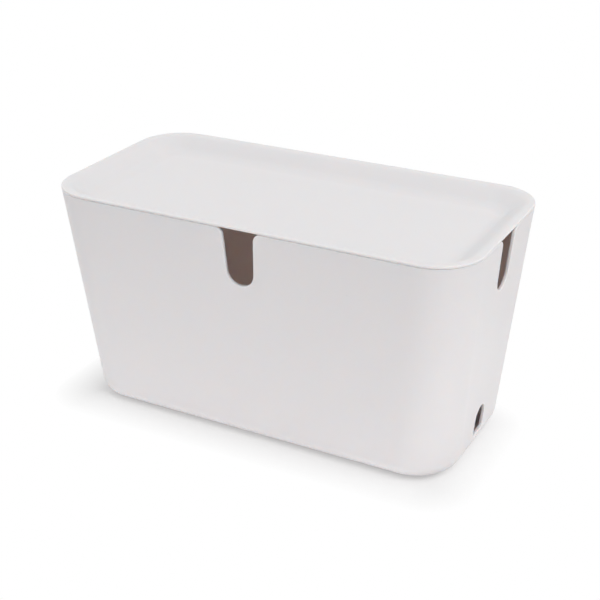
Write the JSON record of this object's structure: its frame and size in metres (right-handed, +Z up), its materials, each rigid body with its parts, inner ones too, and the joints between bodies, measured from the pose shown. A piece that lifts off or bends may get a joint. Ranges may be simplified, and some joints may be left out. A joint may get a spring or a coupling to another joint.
{
  "type": "cable management box",
  "caption": "Round-cornered cable box with drafted walls, U-shaped cable slots in the rim, low cable arches in the ends and a loose lid shaped as a shallow tray.",
  "frame": {"origin": "middle of the footprint, on the surface that the four feet stand on", "axes": "+X along the length, -Y towards the front, +Z up"},
  "size_m": [0.455, 0.225, 0.24],
  "materials": {
    "case_plastic": "warm white moulded plastic, satin, with a very fine moulded grain",
    "lid_plastic": "warm white moulded plastic, satin, with a very fine moulded grain",
    "foot_rubber": "plain grey non-slip pad"
  },
  "bodies": {
    "case": {"body": "case_plastic", "foot_front_left": "foot_rubber", "foot_front_right": "foot_rubber", "foot_back_left": "foot_rubber", "foot_back_right": "foot_rubber"},
    "lid": {"lid": "lid_plastic"}
  },
  "joints": [
    {"name": "lid_lift", "type": "slide", "parent": "case", "child": "lid", "axis": [0, 0, 1], "range_m": [0, 0.25]}
  ]
}
